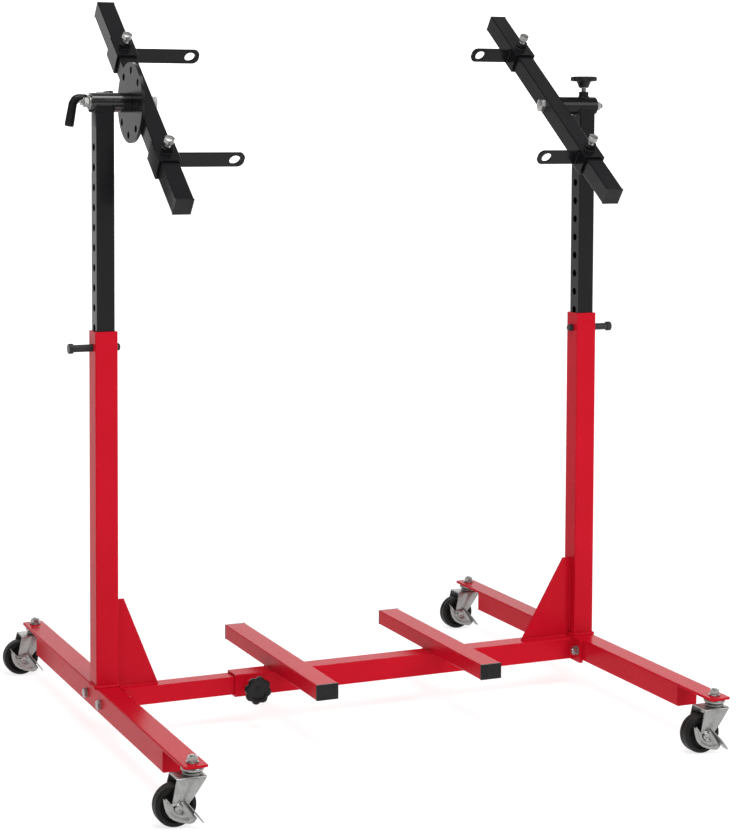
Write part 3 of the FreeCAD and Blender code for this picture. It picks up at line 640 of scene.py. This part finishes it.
def leg_edges(z):
    """Low and high X of a fork leg at a height, from the swivel axis."""
    for (z0, a0, b0), (z1, a1, b1) in zip(LEG, LEG[1:]):
        if z <= z1:
            t = (z - z0) / (z1 - z0)
            return a0 + t * (a1 - a0), b0 + t * (b1 - b0)
    return LEG[-1][1:]


def fork_path():
    """Outer line of the pressed fork across Y: up one leg, over the crown and down the other."""
    bend_r = 4.5
    top = CROWN - 0.1
    leg = [(-FORK_HALF, z) for z in (31.8, 35, 41, 50, 58, 66, 74, 82, top - bend_r)]
    for degrees in range(15, 91, 15):
        a = math.radians(degrees)
        leg.append((-FORK_HALF + bend_r - bend_r * math.cos(a), top - bend_r + bend_r * math.sin(a)))
    flat = [(across, top) for across in (-13, -6, 0, 6, 13)]
    return leg + flat + [(-across, z) for across, z in reversed(leg)]


def castor_stem(stems, x, y):
    """The half fixed to the foot: stem with its lower collar and upper race, washer, nut."""
    low, tab = CROWN - 10, FOOT_TOP - 5
    collar = [(0.1, low), (10.4, low), (11, low + 0.6), (11, low + 5), (10.4, low + 5.4), (5.9, low + 5.4)]
    race = [(5.9, tab - 8.9), (20.5, tab - 8.9), (22.5, tab - 8.0), (23, tab - 6.2), (22.8, tab - 3.6),
            (21.2, tab - 1.2), (19.5, tab - 0.1), (0.1, tab - 0.1)]
    washer = [(6.2, 0.02), (12.6, 0.02), (13, 0.4), (13, 2.1), (12.6, 2.5), (6.2, 2.5)]
    stems.lathe((x, y, 0), Z, collar + race)
    stems.lathe((x, y, FOOT_TOP), Z, washer, closed=True)
    stems.hexagon((x, y, FOOT_TOP + 2.5), Z, X, 19, 10, both=True)
    stems.thread((x, y, 0), Z, STUD_R, FOOT_TOP - 7, FOOT_TOP + 15)


def fork_sheet(key, x, y):
    """Pressed steel U, each leg grooved down its middle."""
    fork = Piece()
    rows = []
    for across, z in fork_path():
        low, high = leg_edges(z)
        fade = min(1.0, max(0.0, (z - 44) / 18)) if abs(across) > 24 else 0
        row = []
        for k in range(17):
            t = k / 16
            groove = 2.0 * math.exp(-((t - 0.45) / 0.13) ** 2) * fade
            row.append((x + low + (high - low) * t, y + across * (1 - groove / FORK_HALF), z))
        rows.append(fork.vertices(row))
    fork.skin(rows, wrap=False)
    fork.done(f"fork_{key}_sheet", f"castor_{key}", PRESSED, [f"fork_{key}"],
              angle=45, bevel=0.5, thick=SHEET)


def fork_hardware(key, x, y):
    """Swivel race on the crown, and the axle with its riveted head and nut."""
    axle = (x - TRAIL, y, WHEEL_R)
    race = [(7, -3.5), (17, -3.5), (17, -0.5), (19.4, 0), (20, 1.2), (19.6, 3.4), (17.4, 5.6),
            (15, 6.4), (7, 6.4)]
    rivet = [(0.1, 28.2), (8.2, 28.2), (8.4, 28.9), (7.4, 30.4), (5.6, 31.0), (3.6, 30.2), (0.1, 29.8)]
    hardware = Piece()
    hardware.lathe((x, y, CROWN), Z, race, closed=True)
    hardware.lathe(axle, -Y, [(0.1, -31), (4.94, -31), (4.94, 29), (0.1, 29)])
    hardware.lathe(axle, -Y, rivet)
    hardware.hexagon((x - TRAIL, y + 25, WHEEL_R), Y, X, 15, 6, both=True)
    hardware.done(f"fork_{key}_hardware", f"castor_{key}", ZINC, [f"fork_{key}"])


def wheel(key, axle):
    """Rounded tread with a mould line, recessed sides, hub."""
    half = [(5.06, 20.5), (10.4, 20.5), (11, 19.9), (11.2, 11.5), (13.5, 10.2), (28.2, 10.2), (29.6, 11.2),
            (30.8, 14.2), (32, 15), (37.1, 15), (39.3, 14.3), (40.7, 12.6), (41.4, 9.5), (WHEEL_R, 5),
            (WHEEL_R, 0.8), (41.25, 0.4)]
    profile = half + [(r, -along) for r, along in reversed(half)]
    tyre = Piece()
    tyre.lathe(axle, Y, profile, across=X, count=72, closed=True)
    tyre.done(f"wheel_{key}_tyre", f"wheel_{key}_set", RUBBER, [f"wheel_{key}"], angle=40)


def brake_leaf(key, axle):
    """Pressed lever with a dished middle, on the axle outside the fork."""
    outline = [(-30, 22), (-22.5, 13.5), (-15, 9.5), (-2, 10), (10, 12.5), (13, 10.5), (20, 1), (27, -9),
               (33, -18), (37, -24), (31, -31), (24, -33), (13, -31), (2, -27.5), (-9, -22.5), (-18, -15.5),
               (-24.5, -6), (-28, 5), (-30, 14)]
    face_y = axle.y - 26.6
    rim = [Vector((axle.x + a, face_y, axle.z + b)) for a, b in outline]
    centre = Vector((axle.x + 1, face_y, axle.z - 6))
    leaf = Piece()
    loops = []
    for scale, inwards in ((1.0, 0.0), (0.90, 0.0), (0.84, -0.9), (0.72, -0.9), (0.66, 0.1), (0.45, 0.1)):
        loops.append(leaf.vertices([centre.lerp(p, scale) + inwards * Y for p in rim]))
    hub = []
    for p in rim:
        a = math.atan2(p.z - axle.z, p.x - axle.x)
        hub.append((axle.x + 5.6 * math.cos(a), face_y + 0.1, axle.z + 5.6 * math.sin(a)))
    loops.append(leaf.vertices(hub))
    leaf.skin(loops)
    leaf.done(f"brake_{key}_leaf", f"brake_{key}_set", PRESSED, angle=50, thick=LEAF)


def brake_pedal(key, axle):
    """The lever's toe plate: stands out from the leaf, slopes down, with a lip along its outer edge."""
    depths = (3, 7, 12, 16, 18, 19, 19.2, 19, 17.5)
    pedal = Piece()
    rows = []
    for k, depth in enumerate(depths):
        t = k / (len(depths) - 1)
        row = []
        for j in range(6):
            lip = 0.5 if j == 5 else 0
            row.append((axle.x + 10.6 + 33.4 * t + lip, axle.y - 25.7 - depth * j / 5,
                        axle.z + 14.6 - 44.2 * t + lip))
        rows.append(pedal.vertices(row))
    pedal.skin(rows, wrap=False)
    pedal.done(f"brake_{key}_pedal", f"brake_{key}_set", PRESSED, [f"brake_{key}"],
               angle=50, bevel=0.3, thick=LEAF)


for side, sign in SIDES.items():
    stems = Piece()
    for end, s in ENDS.items():
        key = f"{side}_{end}"
        x, y = sign * COLUMN_X, s * CASTOR_Y
        axle = Vector((x - TRAIL, y, WHEEL_R))
        castor_stem(stems, x, y)
        fork_sheet(key, x, y)
        fork_hardware(key, x, y)
        wheel(key, axle)
        brake_leaf(key, axle)
        brake_pedal(key, axle)
    stems.done(f"{side}_castor_stems_detail", f"{side}_frame", ZINC, [f"{side}_castor_stems"])


# ---------------------------------------------------------------- stage, light, camera; metres from here on
def pale_floor(half):
    """A wide matt floor that glows a little more with distance, so that it runs into the backdrop."""
    mesh = bpy.data.meshes.new("floor")
    corners = [(-half, -half, 0), (half, -half, 0), (half, half, 0), (-half, half, 0)]
    mesh.from_pydata(corners, [], [(0, 1, 2, 3)])
    floor = bpy.data.objects.new("floor", mesh)
    bpy.context.scene.collection.objects.link(floor)
    material, tree, shader = node_tree("pale_floor")
    shader.inputs["Base Color"].default_value = (0.45, 0.45, 0.45, 1)
    shader.inputs["Roughness"].default_value = 0.9
    shader.inputs["Specular IOR Level"].default_value = 0.1
    shader.inputs["Emission Color"].default_value = (1, 1, 1, 1)
    distance = tree.nodes.new("ShaderNodeVectorMath")
    distance.operation = "LENGTH"
    tree.links.new(coordinates(tree), distance.inputs[0])
    glow = remap(tree, distance.outputs["Value"], (1.2, 6.0), (0.76, 1.02))
    tree.links.new(glow, shader.inputs["Emission Strength"])
    mesh.materials.append(material)


def studio_world(towards):
    """A backdrop that is white behind the stand and falls away to grey round the sides and overhead."""
    world = bpy.data.worlds.new("studio")
    bpy.context.scene.world = world
    world.use_nodes = True
    tree = world.node_tree
    direction = tree.nodes.new("ShaderNodeTexCoord")
    facing = tree.nodes.new("ShaderNodeVectorMath")
    facing.operation = "DOT_PRODUCT"
    facing.inputs[1].default_value = towards
    tree.links.new(direction.outputs["Generated"], facing.inputs[0])
    behind = remap(tree, facing.outputs["Value"], (-1.0, 1.0), (0.0, 1.0))
    stops = [(0.0, (0.19, 0.19, 0.195)), (0.60, (0.21, 0.21, 0.215)), (0.84, (0.50, 0.50, 0.505)),
             (0.95, (1.6, 1.6, 1.6))]
    background = tree.nodes["Background"]
    background.inputs["Strength"].default_value = 1.0
    tree.links.new(ramp(tree, behind, stops), background.inputs["Color"])


def softbox(name, location, aim, energy):
    light = bpy.data.lights.new(name, "AREA")
    light.shape = "SQUARE"
    light.size = 2.6
    light.energy = energy
    obj = bpy.data.objects.new(name, light)
    bpy.context.scene.collection.objects.link(obj)
    obj.location = location
    obj.rotation_euler = (Vector(aim) - Vector(location)).to_track_quat("-Z", "Y").to_euler()


def place_camera(location, yaw, pitch, roll, lens, shift):
    """Camera at a place, with its turn, tilt and roll in degrees."""
    yaw, pitch, roll = (math.radians(a) for a in (yaw, pitch, roll))
    forward = Vector((-math.sin(yaw) * math.cos(pitch), math.cos(yaw) * math.cos(pitch), math.sin(pitch)))
    right = Vector((math.cos(yaw), math.sin(yaw), 0))
    up = right.cross(forward)
    rolled_right = right * math.cos(roll) + up * math.sin(roll)
    rolled_up = up * math.cos(roll) - right * math.sin(roll)
    rotation = Matrix((rolled_right, rolled_up, -forward)).transposed().to_4x4()
    data = bpy.data.cameras.new("camera")
    data.sensor_width = 36
    data.lens = lens
    data.shift_x, data.shift_y = shift
    data.clip_end = 100
    camera = bpy.data.objects.new("camera", data)
    bpy.context.scene.collection.objects.link(camera)
    bpy.context.scene.camera = camera
    camera.matrix_world = Matrix.Translation(location) @ rotation


pale_floor(45.0)
studio_world((0.40, 0.92, 0.0))
softbox("key", (2.4, -4.0, 3.0), (0, 0, 0.6), 88)
softbox("fill", (-3.6, -2.6, 2.6), (0, 0, 0.6), 14)
softbox("top", (-0.5, -1.5, 4.8), (0, 0, 0.4), 135)
place_camera((-1.8525, -4.1697, 1.3423), -23.144, -3.246, 0.191, 87.72, (0.0509, -0.2173))
bpy.context.scene.view_settings.view_transform = "Standard"
bpy.context.scene.view_settings.look = "None"
